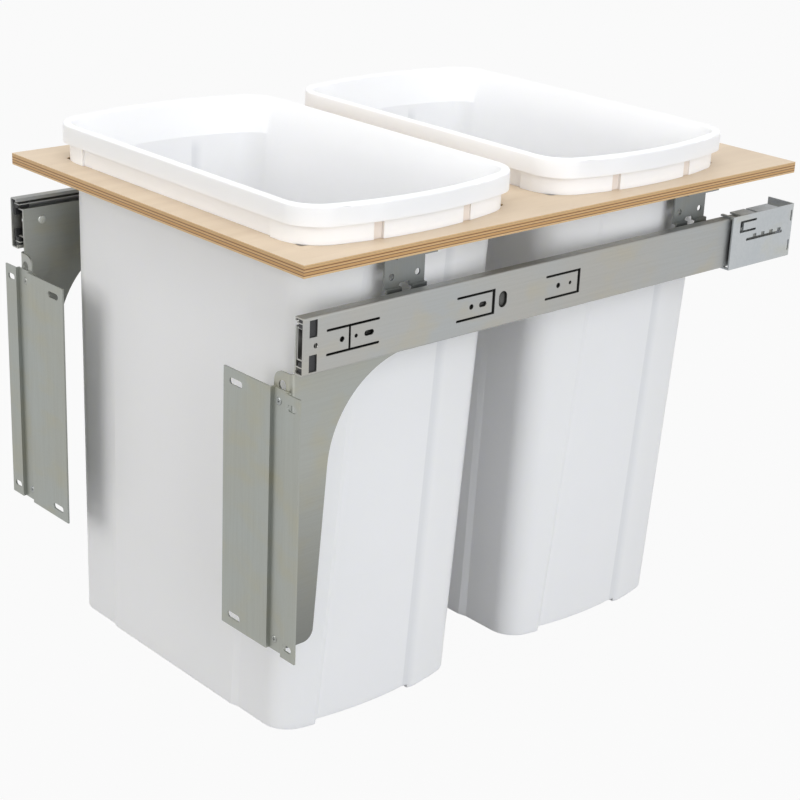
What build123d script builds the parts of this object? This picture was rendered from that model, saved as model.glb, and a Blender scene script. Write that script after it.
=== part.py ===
"""Pull out bin frame for a base cabinet, in millimetres.

X runs across the cabinet to the right, Y runs back into it and Z is up. The origin is midway between the
two slides, on the line of their screws, at their front ends. Right-hand pieces are modelled first, and
the left-hand ones are their mirror images.
"""

import os

from build123d import *

# Driving dimensions of the whole frame
opening_width = 407.2
slide_length = 559.0
slide_height = 45.0
slide_thickness = 12.7
deck_thickness = 10.0
deck_height = 62.0
deck_setback = 1.5
deck_overhang = 21.0
deck_side_gap = 2.9
deck_side_rail = 21.7
deck_front_rail = 29.0
deck_middle_rail = 53.9
deck_rear_rail = 69.9
bin_height = 454.0

# General fits
overrun = 6.0
fit_clearance = 0.1
sliding_clearance = 0.3
shank_clearance = 0.15

slide_face = opening_width / 2
drawer_face = slide_face - slide_thickness
deck_underside = deck_height - deck_thickness
deck_length = slide_length + deck_overhang
deck_width = opening_width - 2 * deck_side_gap
hole_length = deck_width - 2 * deck_side_rail
hole_depth = (deck_length - deck_front_rail - deck_middle_rail - deck_rear_rail) / 2
front_bin_place = deck_setback + deck_front_rail + hole_depth / 2
bin_places = {"front": front_bin_place, "rear": front_bin_place + hole_depth + deck_middle_rail}
both_ways = (-1, 1)

pieces = {}


def crosswise(y):
    """Plane across the frame at a distance from the slides' front ends, its own axes along X and Z."""
    return Plane.XZ.offset(-y)


def sidewise(x):
    """Plane along the frame at a distance from the middle, its own axes along Y and Z."""
    return Plane.YZ.offset(x)


def keep_pair(name, right_piece):
    """Keeps a right-hand piece and makes its mirror image for the left."""
    with BuildPart() as left_piece:
        mirror(right_piece.part, about=Plane.YZ)
    pieces[f"right_{name}"] = right_piece
    pieces[f"left_{name}"] = left_piece


# Slide members
# Each slide is three channels, one inside the other, on two rows of balls above and two below.
cabinet_sheet = 1.2
cabinet_lip = 9.7
cabinet_curl = 1.8
cabinet_bend = 2.0
middle_sheet = 1.0
middle_gap = 1.0
middle_setback = 2.0
middle_rear_gap = 25.0
drawer_sheet = 1.2
drawer_gap = 1.2
drawer_setback = 4.5
drawer_rear_gap = 10.0
ball_diameter = 3.5
ball_play = 0.1

race_height = slide_height / 2 - cabinet_sheet
ball_row = ball_diameter + 2 * ball_play
middle_height = race_height - ball_row
middle_race = middle_height - middle_sheet
drawer_height = middle_race - ball_row
middle_face = slide_face - cabinet_sheet - middle_gap
middle_edge = drawer_face + cabinet_sheet + middle_gap
drawer_edge = middle_face - middle_sheet - drawer_gap
middle_rear = slide_length - middle_rear_gap
drawer_rear = slide_length - drawer_rear_gap
drawer_inner = drawer_face + drawer_sheet

# Punched features of the cabinet member, as distances from its front end
window_front = 5.8
window_length = 7.4
window_height = 13.4
window_rise = 13.5
front_hole_place = 12.0
front_hole = 4.0
kerf = 2.0
tip_kerf = 3.2
tongue_height = 17.0
front_tongues_root = 22.0
front_tongues_end = 74.0
front_tongues_tip = 44.5
middle_tongue_root = 154.0
middle_tongue_tip = 196.0
rear_tongue_root = 254.0
rear_tongue_tip = 295.0
screw_hole = 4.5
screw_places = (37.1, 170.0, 269.0)
pin_hole = 3.2
pin_places = (50.8, 283.2)
front_oblong_place = 63.6
front_oblong_length = 9.3
middle_oblong_place = 182.5
middle_oblong_length = 8.0
oblong_height = 4.4
big_hole_place = 205.0
big_hole_length = 9.0
big_hole_height = 13.6

with BuildPart() as cabinet_member:
    with BuildSketch(crosswise(0)):
        with Locations((slide_face, 0)):
            cabinet_section = Rectangle(cabinet_lip, slide_height, align=(Align.MAX, Align.CENTER))
        fillet(cabinet_section.vertices().group_by(Axis.X)[-1], cabinet_bend)
        with Locations((slide_face - cabinet_sheet, 0)):
            Rectangle(cabinet_lip, 2 * race_height, align=(Align.MAX, Align.CENTER), mode=Mode.SUBTRACT)
        for side in both_ways:
            with Locations((slide_face - cabinet_lip, side * (race_height - cabinet_curl / 2))):
                Rectangle(cabinet_sheet, cabinet_curl, align=(Align.MIN, Align.CENTER))
    extrude(amount=-slide_length)
    with BuildSketch(sidewise(slide_face - cabinet_sheet)):
        window_places = [(window_front + window_length / 2, side * window_rise) for side in both_ways]
        with Locations(*window_places):
            Rectangle(window_length, window_height)
        with Locations((front_hole_place, 0)):
            Circle(front_hole / 2)
        for root, tip in (
            (front_tongues_root, front_tongues_end),
            (middle_tongue_root, middle_tongue_tip),
            (rear_tongue_root, rear_tongue_tip),
        ):
            for side in both_ways:
                with Locations(((root + tip) / 2, side * (tongue_height + kerf) / 2)):
                    SlotOverall(tip - root, kerf)
        for tip in (middle_tongue_tip, rear_tongue_tip):
            with Locations((tip, 0)):
                Rectangle(tip_kerf, tongue_height + 2 * kerf, align=(Align.MAX, Align.CENTER))
        with Locations((front_tongues_tip, 0)):
            Rectangle(kerf, tongue_height + kerf)
        with Locations(*[(place, 0) for place in screw_places]):
            Circle(screw_hole / 2)
        with Locations(*[(place, 0) for place in pin_places]):
            Circle(pin_hole / 2)
        with Locations((front_oblong_place, 0)):
            SlotOverall(front_oblong_length, oblong_height)
        with Locations((middle_oblong_place, 0)):
            SlotOverall(middle_oblong_length, oblong_height)
        with Locations((big_hole_place, 0)):
            SlotOverall(big_hole_height, big_hole_length, rotation=90)
    extrude(amount=overrun, mode=Mode.SUBTRACT)
keep_pair("cabinet_member", cabinet_member)

# Intermediate member, whose web stops behind the plastic pads while its two races run on to the front
bumper_length = 12.0

with BuildPart() as intermediate_member:
    with BuildSketch(crosswise(middle_setback)):
        middle_depth = middle_face - middle_edge
        with Locations((middle_face, 0)):
            Rectangle(middle_depth, 2 * middle_height, align=(Align.MAX, Align.CENTER))
        with Locations((middle_face - middle_sheet, 0)):
            Rectangle(middle_depth, 2 * middle_race, align=(Align.MAX, Align.CENTER), mode=Mode.SUBTRACT)
    extrude(amount=middle_setback - middle_rear)
    with BuildSketch(crosswise(middle_setback)):
        with Locations((middle_face, 0)):
            Rectangle(2 * middle_sheet, 2 * middle_race)
    extrude(amount=-bumper_length, mode=Mode.SUBTRACT)
keep_pair("intermediate_member", intermediate_member)

# Black plastic pads on the front of the intermediate member, which ride in the cabinet member's races
pad_outer = slide_face - cabinet_sheet - sliding_clearance
pad_inner = slide_face - cabinet_lip + cabinet_sheet + sliding_clearance
pad_neck = drawer_edge + sliding_clearance
pad_top = race_height - sliding_clearance
pad_step = drawer_height + sliding_clearance
pad_bottom = window_rise - window_height / 2 - sliding_clearance

with BuildPart() as front_bumper:
    with BuildSketch(crosswise(middle_setback)):
        with BuildLine():
            Polyline(
                (pad_outer, pad_top),
                (pad_inner, pad_top),
                (pad_inner, pad_step),
                (pad_neck, pad_step),
                (pad_neck, pad_bottom),
                (pad_outer, pad_bottom),
                close=True,
            )
        make_face()
        with Locations((middle_face, middle_race)):
            Rectangle(2 * cabinet_lip, middle_sheet, align=(Align.MAX, Align.MIN), mode=Mode.SUBTRACT)
    extrude(amount=-bumper_length)
    mirror(about=Plane.XY)
keep_pair("front_bumper", front_bumper)

# Drawer member, opening outwards, with holes for the rivets that hold the side bracket
rivet_shank = 4.0
rivet_hole = rivet_shank + 2 * shank_clearance
clip_place_share = 0.193
clip_pitch_share = 0.5848
clip_length = 41.4
clip_rivet_spacing = 24.0
clip_rivet_height = 2.0
plate_rivet_places = (22.5, 282.5)

front_clip_place = deck_setback + clip_place_share * deck_length
clip_places = {"front": front_clip_place, "rear": front_clip_place + clip_pitch_share * deck_length}
clip_rivet_places = [
    place + side * clip_rivet_spacing / 2 for place in clip_places.values() for side in both_ways
]
plate_rivets = [(place, clip_rivet_height) for place in plate_rivet_places]
clip_rivets = [(place, clip_rivet_height) for place in clip_rivet_places]
rivet_places = plate_rivets + clip_rivets

with BuildPart() as drawer_member:
    with BuildSketch(crosswise(drawer_setback)):
        drawer_depth = drawer_edge - drawer_face
        with Locations((drawer_face, 0)):
            Rectangle(drawer_depth, 2 * drawer_height, align=(Align.MIN, Align.CENTER))
        with Locations((drawer_inner, 0)):
            Rectangle(
                drawer_depth,
                2 * (drawer_height - drawer_sheet),
                align=(Align.MIN, Align.CENTER),
                mode=Mode.SUBTRACT,
            )
    extrude(amount=drawer_setback - drawer_rear)
    with BuildSketch(sidewise(drawer_inner)):
        with Locations(*rivet_places):
            Circle(rivet_hole / 2)
    extrude(amount=-overrun, mode=Mode.SUBTRACT)
keep_pair("drawer_member", drawer_member)

# Ball cages and balls
cage_sheet = 0.5
cage_margin = 17.0
cage_lip = 6.6
balls_in_row = 8
ball_pitch = 28.0
ball_set_in = 4.2

cage_length = (balls_in_row - 1) * ball_pitch + 2 * cage_margin
cage_front = (slide_length - cage_length) / 2
cages = {
    "outer": (slide_face - cabinet_sheet - (middle_gap - cage_sheet) / 2, race_height - ball_row / 2),
    "inner": (middle_face - middle_sheet - (drawer_gap - cage_sheet) / 2, middle_race - ball_row / 2),
}
first_ball = slide_length / 2 - (balls_in_row - 1) * ball_pitch / 2
ball_places = [first_ball + number * ball_pitch for number in range(balls_in_row)]

for row, (cage_face, row_height) in cages.items():
    ball_line = cage_face - ball_set_in
    with BuildPart() as cage:
        with BuildSketch(crosswise(cage_front)):
            with Locations((cage_face, 0)):
                Rectangle(cage_lip, 2 * row_height + cage_sheet, align=(Align.MAX, Align.CENTER))
            with Locations((cage_face - cage_sheet, 0)):
                Rectangle(
                    cage_lip,
                    2 * row_height - cage_sheet,
                    align=(Align.MAX, Align.CENTER),
                    mode=Mode.SUBTRACT,
                )
        extrude(amount=-cage_length)
        with BuildSketch(Plane.XY):
            with Locations(*[(ball_line, place) for place in ball_places]):
                Circle(ball_diameter / 2 + fit_clearance)
        extrude(amount=slide_height / 2, both=True, mode=Mode.SUBTRACT)
    keep_pair(f"{row}_ball_cage", cage)
    with BuildPart() as balls:
        for side in both_ways:
            with Locations(*[(ball_line, place, side * row_height) for place in ball_places]):
                Sphere(ball_diameter / 2)
    keep_pair(f"{row}_balls", balls)

# Plastic stop at the back of the cabinet member, behind the intermediate member
stop_length = 12.0
stop_plate = pad_outer + sliding_clearance

with BuildPart() as rear_stop:
    with BuildSketch(crosswise(middle_rear + sliding_clearance)):
        with Locations((stop_plate, 0)):
            Rectangle(stop_plate - pad_neck, 2 * race_height, align=(Align.MAX, Align.CENTER))
        for side in both_ways:
            with Locations((stop_plate, side * (race_height + pad_step) / 2)):
                Rectangle(stop_plate - pad_inner, race_height - pad_step, align=(Align.MAX, Align.CENTER))
    extrude(amount=-stop_length)
keep_pair("rear_stop", rear_stop)

# Rear socket, which slips over the back of the slide and screws to the cabinet's back
socket_sheet = 1.5
socket_gap = 2.6
socket_clearance = 0.5
socket_length = 90.0
socket_overhang = 20.5
socket_bend = 3.0
socket_lip = 12.5
socket_flange = 30.0
mouth_lip_length = 3.0
front_lip_start = 13.0
front_lip_length = 20.0
rear_lip_start = 36.0
rear_lip_length = 30.0
spring_cut_start = 10.5
spring_cut_length = 23.5
spring_low_cut = 9.5
spring_high_cut = 18.5
spring_kerf = 2.0
spring_tip_length = 5.0
spring_rise = 1.0
rule_slot_start = 21.0
rule_slot_length = 53.0
rule_slot_height = 2.6
rule_step_height = 1.8
rule_step_length = 5.0
rule_steps = 4
corner_slot_set_in = 4.5
corner_slot_length = 10.5
corner_slot_width = 1.8
corner_slot_rise = 14.0
back_screw_hole = 5.0
back_screw_spacing = 30.0
back_screw_set_in = 12.0

socket_rear = slide_length + socket_overhang
socket_front = socket_rear - socket_length
socket_inner = slide_face + socket_gap
socket_face = socket_inner + socket_sheet
socket_rise = slide_height / 2 + socket_clearance
socket_height = 2 * (socket_rise + socket_sheet)

with BuildPart() as rear_socket:
    with BuildSketch(Plane.XY.offset(-socket_height / 2)):
        with Locations((socket_face, socket_front)):
            Rectangle(socket_sheet, socket_length, align=(Align.MAX, Align.MIN))
        with Locations((socket_face, socket_rear)):
            Rectangle(socket_flange, socket_sheet, align=(Align.MAX, Align.MAX))
    extrude(amount=socket_height)
    for lip_start, lip_length in (
        (0, mouth_lip_length),
        (front_lip_start, front_lip_length),
        (rear_lip_start, rear_lip_length),
    ):
        with BuildSketch(crosswise(socket_front + lip_start)):
            for side in both_ways:
                with Locations((socket_face, side * (socket_rise + socket_sheet / 2))):
                    Rectangle(socket_lip + socket_gap, socket_sheet, align=(Align.MAX, Align.CENTER))
        extrude(amount=-lip_length)
    outer_edges = rear_socket.edges().filter_by(Axis.Z).group_by(Axis.X)[-1]
    fillet(outer_edges.sort_by(Axis.Y)[-1], socket_bend)
    with BuildSketch(sidewise(socket_inner - socket_sheet)):
        spring_middle = socket_front + spring_cut_start + spring_cut_length / 2
        spring_tip = socket_front + spring_cut_start + spring_tip_length / 2
        with Locations((spring_middle, spring_low_cut), (spring_middle, spring_high_cut)):
            SlotOverall(spring_cut_length, spring_kerf)
        with Locations((spring_tip, (spring_low_cut + spring_high_cut) / 2)):
            Rectangle(spring_tip_length, spring_high_cut - spring_low_cut)
        with Locations((socket_front + rule_slot_start + rule_slot_length / 2, spring_rise)):
            SlotOverall(rule_slot_length, rule_slot_height)
        rule_pitch = (rule_slot_length - rule_step_length) / rule_steps
        rule_step_places = [
            (
                socket_front + rule_slot_start + (number + 1) * rule_pitch,
                spring_rise + (rule_slot_height + rule_step_height) / 2,
            )
            for number in range(rule_steps)
        ]
        with Locations(*rule_step_places):
            Rectangle(rule_step_length, 2 * rule_step_height)
        corner_slot_place = socket_rear - corner_slot_set_in
        for side in both_ways:
            with Locations((corner_slot_place, side * corner_slot_rise)):
                SlotOverall(corner_slot_length, corner_slot_width, rotation=90)
    extrude(amount=overrun, mode=Mode.SUBTRACT)
    with BuildSketch(crosswise(socket_rear - 2 * socket_sheet)):
        back_screw_line = socket_face - socket_flange + back_screw_set_in
        with Locations(*[(back_screw_line, side * back_screw_spacing / 2) for side in both_ways]):
            Circle(back_screw_hole / 2)
    extrude(amount=-overrun, mode=Mode.SUBTRACT)
keep_pair("rear_socket", rear_socket)

# Plywood deck with two holes for the bins
hole_sag = 19.0
hole_corner = 3.0


def bowed_outline(length, depth, sag, corner):
    """Draws a bin's outline: straight long sides, bowed short ends and round corners."""
    end = length / 2 - sag
    with BuildSketch() as outline:
        with BuildLine():
            Line((-end, -depth / 2), (end, -depth / 2))
            ThreePointArc((end, -depth / 2), (length / 2, 0), (end, depth / 2))
            Line((end, depth / 2), (-end, depth / 2))
            ThreePointArc((-end, depth / 2), (-length / 2, 0), (-end, -depth / 2))
        make_face()
        fillet(outline.vertices(), corner)
    return outline.sketch


# Clips that hang the deck on the two side brackets
clip_sheet = 1.5
clip_flange = 15.5
clip_joggle = 3.4
ledge_height = 22.4
clip_foot = 12.0
clip_hole = 5.4
clip_hole_spacing = 27.0
clip_hole_height = 32.2
clip_slot_length = 11.0
clip_slot_height = 7.0
clip_slot_rise = 23.0
clip_slot_corner = 2.3
deck_screw_shank = 4.0
deck_screw_head = 8.0
deck_screw_head_height = 2.4
deck_screw_bite = 8.0
deck_screw_spacing = 28.0

plate_sheet = 1.5
plate_inner = drawer_face - plate_sheet
lower_inner = plate_inner - clip_sheet
clip_inner = lower_inner - clip_joggle
clip_flange_end = clip_inner + clip_flange
deck_screw_line = (clip_inner + clip_sheet + clip_flange_end) / 2
deck_screw_hole = deck_screw_shank + 2 * shank_clearance
deck_screw_rows = [
    place + side * deck_screw_spacing / 2 for place in clip_places.values() for side in both_ways
]
deck_screw_places = [(side * deck_screw_line, row) for side in both_ways for row in deck_screw_rows]

with BuildPart() as deck:
    with BuildSketch(Plane((0, deck_setback, deck_underside))):
        Rectangle(deck_width, deck_length, align=(Align.CENTER, Align.MIN))
    extrude(amount=deck_thickness)
    for place in bin_places.values():
        with BuildSketch(Plane((0, place, deck_underside - overrun))):
            add(bowed_outline(hole_length, hole_depth, hole_sag, hole_corner))
        extrude(amount=deck_thickness + 2 * overrun, mode=Mode.SUBTRACT)
    with BuildSketch(Plane.XY.offset(deck_underside)):
        with Locations(*deck_screw_places):
            Circle(deck_screw_shank / 2 + fit_clearance)
    extrude(amount=deck_screw_bite + fit_clearance, mode=Mode.SUBTRACT)
pieces["deck"] = deck

for end, place in clip_places.items():
    with BuildPart() as clip:
        with BuildSketch(crosswise(place - clip_length / 2)):
            with BuildLine():
                Polyline(
                    (clip_flange_end, deck_underside),
                    (clip_inner, deck_underside),
                    (clip_inner, ledge_height),
                    (lower_inner, ledge_height),
                    (lower_inner, -clip_foot),
                    (plate_inner, -clip_foot),
                    (plate_inner, ledge_height + clip_sheet),
                    (clip_inner + clip_sheet, ledge_height + clip_sheet),
                    (clip_inner + clip_sheet, deck_underside - clip_sheet),
                    (clip_flange_end, deck_underside - clip_sheet),
                    close=True,
                )
            make_face()
        extrude(amount=-clip_length)
        with BuildSketch(sidewise(clip_inner - overrun)):
            for side in both_ways:
                with Locations((place + side * clip_hole_spacing / 2, clip_hole_height)):
                    Circle(clip_hole / 2)
                with Locations((place + side * clip_rivet_spacing / 2, clip_rivet_height)):
                    Circle(rivet_hole / 2)
            with Locations((place, clip_slot_rise)):
                RectangleRounded(clip_slot_length, clip_slot_height, clip_slot_corner)
        extrude(amount=clip_flange, mode=Mode.SUBTRACT)
        with BuildSketch(Plane.XY.offset(deck_underside - overrun)):
            for side in both_ways:
                with Locations((deck_screw_line, place + side * deck_screw_spacing / 2)):
                    Circle(deck_screw_hole / 2)
        extrude(amount=2 * overrun, mode=Mode.SUBTRACT)
    keep_pair(f"{end}_deck_clip", clip)

with BuildPart() as deck_screws:
    with BuildSketch(Plane.XY.offset(deck_underside - clip_sheet - deck_screw_head_height)):
        with Locations(*deck_screw_places):
            Circle(deck_screw_head / 2)
    extrude(amount=deck_screw_head_height)
    head_rims = deck_screws.edges().filter_by(GeomType.CIRCLE).group_by(Axis.Z)[0]
    fillet(head_rims, deck_screw_head_height / 2)
    with BuildSketch(Plane.XY.offset(deck_underside - clip_sheet)):
        with Locations(*deck_screw_places):
            Circle(deck_screw_shank / 2)
    extrude(amount=clip_sheet + deck_screw_bite)
pieces["deck_screws"] = deck_screws

# Side brackets: a plate along each drawer member, a leg down behind the door and a flange for the door
plate_top = 13.6
plate_front = 4.1
plate_margin = 4.6
plate_corner = 5.0
arm_bottom = 26.0
leg_foot_depth = 26.6
leg_slope_share = 0.0715
leg_curve = 86.0
leg_corner = 10.0
flange_face = -0.4
flange_bend = 4.5
flange_width = 19.9
flange_top = 24.5
flange_corner = 9.0
register_hole = 8.6
register_hole_set_in = 9.9
register_hole_drop = 35.3
door_bracket_drop = 38.0
door_bracket_height = 220.0
door_bracket_foot = 5.5
door_screw_set_in = 11.9
door_hole_margin = 10.0
door_screw_shank = 4.0

flange_end = drawer_face - flange_width
register_hole_line = drawer_face - register_hole_set_in
door_screw_line = drawer_face - door_screw_set_in
door_bracket_bottom = -door_bracket_drop - door_bracket_height
door_hole_heights = (-door_bracket_drop - door_hole_margin, door_bracket_bottom + door_hole_margin)
door_screw_hole = door_screw_shank + 2 * shank_clearance
leg_bottom = -door_bracket_bottom - door_bracket_foot
plate_rear = clip_places["rear"] + clip_length / 2 + plate_margin
leg_rise = leg_bottom - arm_bottom
leg_top_depth = leg_foot_depth + leg_slope_share * leg_rise

with BuildPart() as side_bracket:
    with BuildSketch(sidewise(plate_inner)):
        with BuildLine():
            FilletPolyline(
                (plate_front, -leg_bottom),
                (leg_foot_depth, -leg_bottom),
                (leg_top_depth, -arm_bottom),
                (plate_rear, -arm_bottom),
                (plate_rear, plate_top),
                (plate_front, plate_top),
                radius=[leg_corner, leg_curve, plate_corner, plate_corner],
            )
            Line((plate_front, plate_top), (plate_front, -leg_bottom))
        make_face()
        with Locations(*rivet_places):
            Circle(rivet_hole / 2, mode=Mode.SUBTRACT)
    extrude(amount=plate_sheet)
    with BuildSketch(Plane.XY.offset(-leg_bottom)):
        with BuildLine():
            FilletPolyline(
                (flange_end, flange_face),
                (drawer_face, flange_face),
                (drawer_face, plate_front),
                radius=flange_bend - fit_clearance,
            )
            Line((drawer_face, plate_front), (plate_inner, plate_front))
            FilletPolyline(
                (plate_inner, plate_front),
                (plate_inner, flange_face + plate_sheet),
                (flange_end, flange_face + plate_sheet),
                radius=flange_bend - plate_sheet - fit_clearance,
            )
            Line((flange_end, flange_face + plate_sheet), (flange_end, flange_face))
        make_face()
    extrude(amount=leg_bottom - flange_top)
    flange_tip = side_bracket.edges().filter_by(Axis.Y).sort_by(Axis.X)[:2].sort_by(Axis.Z)[-1]
    fillet(flange_tip, flange_corner)
    with BuildSketch(crosswise(flange_face - overrun)):
        with Locations((register_hole_line, -register_hole_drop)):
            Circle(register_hole / 2)
        with Locations(*[(door_screw_line, height) for height in door_hole_heights]):
            Circle(door_screw_hole / 2)
    extrude(amount=-(plate_sheet + 2 * overrun), mode=Mode.SUBTRACT)
keep_pair("side_bracket", side_bracket)

# Rivets through side bracket and drawer member, the clips' own being longer by the clip's sheet
rivet_head = 8.0
rivet_head_height = 1.6
rivet_tail = 6.4
rivet_tail_height = 1.2


def rivet_row(places, seat):
    """Makes a row of rivets whose heads sit on a face at a distance from the middle."""
    with BuildPart() as rivets:
        with BuildSketch(sidewise(seat)):
            with Locations(*places):
                Circle(rivet_head / 2)
        extrude(amount=-rivet_head_height)
        rims = rivets.edges().filter_by(GeomType.CIRCLE).group_by(Axis.X)[0]
        fillet(rims, rivet_head_height / 2)
        with BuildSketch(sidewise(seat)):
            with Locations(*places):
                Circle(rivet_shank / 2)
        extrude(amount=drawer_inner - seat)
        with BuildSketch(sidewise(drawer_inner)):
            with Locations(*places):
                Circle(rivet_tail / 2)
        extrude(amount=rivet_tail_height)
    return rivets


keep_pair("bracket_rivets", rivet_row(plate_rivets, plate_inner))
keep_pair("clip_rivets", rivet_row(clip_rivets, lower_inner))

# Door brackets: a vertical strip with a channel pressed into it, screwed to the side bracket's flange
door_sheet = 1.5
channel_depth = 3.0
channel_inner_reach = 6.6
channel_outer_reach = 11.2
door_bracket_width = 93.0
door_bracket_overhang = 3.9
inner_slot_set_in = 15.5
inner_slot_length = 16.0
outer_slot_set_in = 9.3
outer_slot_length = 10.4
door_slot_width = 5.5

channel_inner_wall = door_screw_line - channel_inner_reach
channel_outer_wall = door_screw_line + channel_outer_reach
door_bracket_outer = slide_face + door_bracket_overhang
door_bracket_inner = door_bracket_outer - door_bracket_width
inner_slot_line = door_bracket_inner + inner_slot_set_in
outer_slot_line = door_bracket_outer - outer_slot_set_in
channel_floor_rear = flange_face
door_face = channel_floor_rear - door_sheet - channel_depth

with BuildPart() as door_bracket:
    with BuildSketch(Plane.XY.offset(door_bracket_bottom)):
        with BuildLine():
            Polyline(
                (door_bracket_inner, door_face),
                (channel_inner_wall, door_face),
                (channel_inner_wall, door_face + channel_depth),
                (channel_outer_wall, door_face + channel_depth),
                (channel_outer_wall, door_face),
                (door_bracket_outer, door_face),
                (door_bracket_outer, door_face + door_sheet),
                (channel_outer_wall + door_sheet, door_face + door_sheet),
                (channel_outer_wall + door_sheet, channel_floor_rear),
                (channel_inner_wall - door_sheet, channel_floor_rear),
                (channel_inner_wall - door_sheet, door_face + door_sheet),
                (door_bracket_inner, door_face + door_sheet),
                close=True,
            )
        make_face()
    extrude(amount=door_bracket_height)
    with BuildSketch(crosswise(door_face - overrun)):
        with Locations(*[(inner_slot_line, height) for height in door_hole_heights]):
            SlotOverall(inner_slot_length, door_slot_width)
        with Locations(*[(outer_slot_line, height) for height in door_hole_heights]):
            SlotOverall(outer_slot_length, door_slot_width)
        with Locations(*[(door_screw_line, height) for height in door_hole_heights]):
            Circle(door_screw_hole / 2)
    extrude(amount=-(channel_depth + 2 * overrun), mode=Mode.SUBTRACT)
keep_pair("door_bracket", door_bracket)

# Screws and nuts that hold each door bracket to its side bracket
door_screw_head = 6.4
door_screw_head_height = 1.4
door_nut_width = 7.0
door_nut_height = 3.2
door_screw_tail = 1.5
flange_rear = flange_face + plate_sheet
door_screw_seat = door_face + channel_depth
door_screw_places = [
    (side * door_screw_line, height) for side in both_ways for height in door_hole_heights
]

with BuildPart() as door_screws:
    with BuildSketch(crosswise(door_screw_seat)):
        with Locations(*door_screw_places):
            Circle(door_screw_head / 2)
    extrude(amount=door_screw_head_height)
    head_rims = door_screws.edges().filter_by(GeomType.CIRCLE).group_by(Axis.Y)[0]
    fillet(head_rims, door_screw_head_height / 2)
    with BuildSketch(crosswise(door_screw_seat)):
        with Locations(*door_screw_places):
            Circle(door_screw_shank / 2)
    extrude(amount=-(flange_rear - door_screw_seat + door_nut_height + door_screw_tail))
pieces["door_bracket_screws"] = door_screws

with BuildPart() as door_nuts:
    with BuildSketch(crosswise(flange_rear)):
        with Locations(*door_screw_places):
            RegularPolygon(door_nut_width / 2, 6, major_radius=False)
            Circle(door_screw_shank / 2 + fit_clearance, mode=Mode.SUBTRACT)
    extrude(amount=-door_nut_height)
pieces["door_bracket_nuts"] = door_nuts

# Bins: tapered tubs hanging by a skirt on the deck
# A pair of values is the one at the foot and the one at the deck's top.
bin_wall = 2.5
bin_clearance = 2.9
bin_sag = 18.0
bin_foot_sag = 14.0
bin_foot_shift = -11.5
bin_length_taper = 28.2
bin_depth_taper = 11.3
bin_foot_corner = 25.0
bin_seat_corner = 28.0
rim_length_flare = 14.8
rim_depth_flare = 11.2
rim_corner = 30.0
lip_width = 4.0
lip_height = 16.5
lip_rounding = 2.0
skirt_end_set_in = 5.0
skirt_side_set_in = 3.0
skirt_corner = 36.0
skirt_wall = 4.0
skirt_recess = 2.0
skirt_middle_width = 257.0
skirt_groove_width = 9.0
skirt_groove_spacing = 92.0
bin_above_deck = 32.0
end_panel_low = (-60.0, -46.0)
end_panel_high = (32.0, 33.0)
end_low_slope = 5.0
end_high_slope = 11.0
end_recess = (3.0, 1.2)
side_panel_reach = (86.0, 94.0)
side_slope = 8.0
side_corner_depth = (1.2, 0)
side_panel_rise = (2.2, -0.8)
end_inset = (5.5, 3.7)
side_inset = (3.7, 3.3)
foot_height = 3.0

bin_seat_length = hole_length - 2 * bin_clearance
bin_seat_depth = hole_depth - 2 * bin_clearance
bin_rim_length = bin_seat_length + rim_length_flare
bin_rim_depth = bin_seat_depth + rim_depth_flare
bin_lip_length = bin_rim_length + 2 * lip_width
bin_lip_depth = bin_rim_depth + 2 * lip_width
bin_skirt_length = bin_lip_length - 2 * skirt_end_set_in
bin_skirt_depth = bin_lip_depth - 2 * skirt_side_set_in
bin_top = deck_height + bin_above_deck
bin_foot = bin_top - bin_height
lip_underside = bin_top - lip_height
floor_top = bin_foot + foot_height + bin_wall
foot_channel_low = end_panel_low[0] - end_low_slope / 2
foot_channel_high = end_panel_high[0] + end_high_slope / 2
skirt_groove_line = bin_skirt_length / 2 - bin_sag * (skirt_groove_spacing / bin_skirt_depth) ** 2


def between(foot_value, top_value, height):
    """Value at a height on the bin's wall, changing evenly from its foot to the deck's top."""
    return foot_value + (top_value - foot_value) * (height - bin_foot) / (deck_height - bin_foot)


def wall_size(height):
    """Half length, half depth and the ends' sag of the bin's wall at a height."""
    return (
        between(bin_seat_length - bin_length_taper, bin_seat_length, height) / 2,
        between(bin_seat_depth - bin_depth_taper, bin_seat_depth, height) / 2,
        between(bin_foot_sag, bin_sag, height),
    )


def hollow_outline(height):
    """Draws the outline of the bin's hollow at a height."""
    half_length, half_depth, sag = wall_size(height)
    return bowed_outline(
        2 * (half_length - between(*end_inset, height)),
        2 * (half_depth - between(*side_inset, height)),
        sag,
        between(bin_foot_corner, bin_seat_corner, height) - bin_wall,
    )


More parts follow.
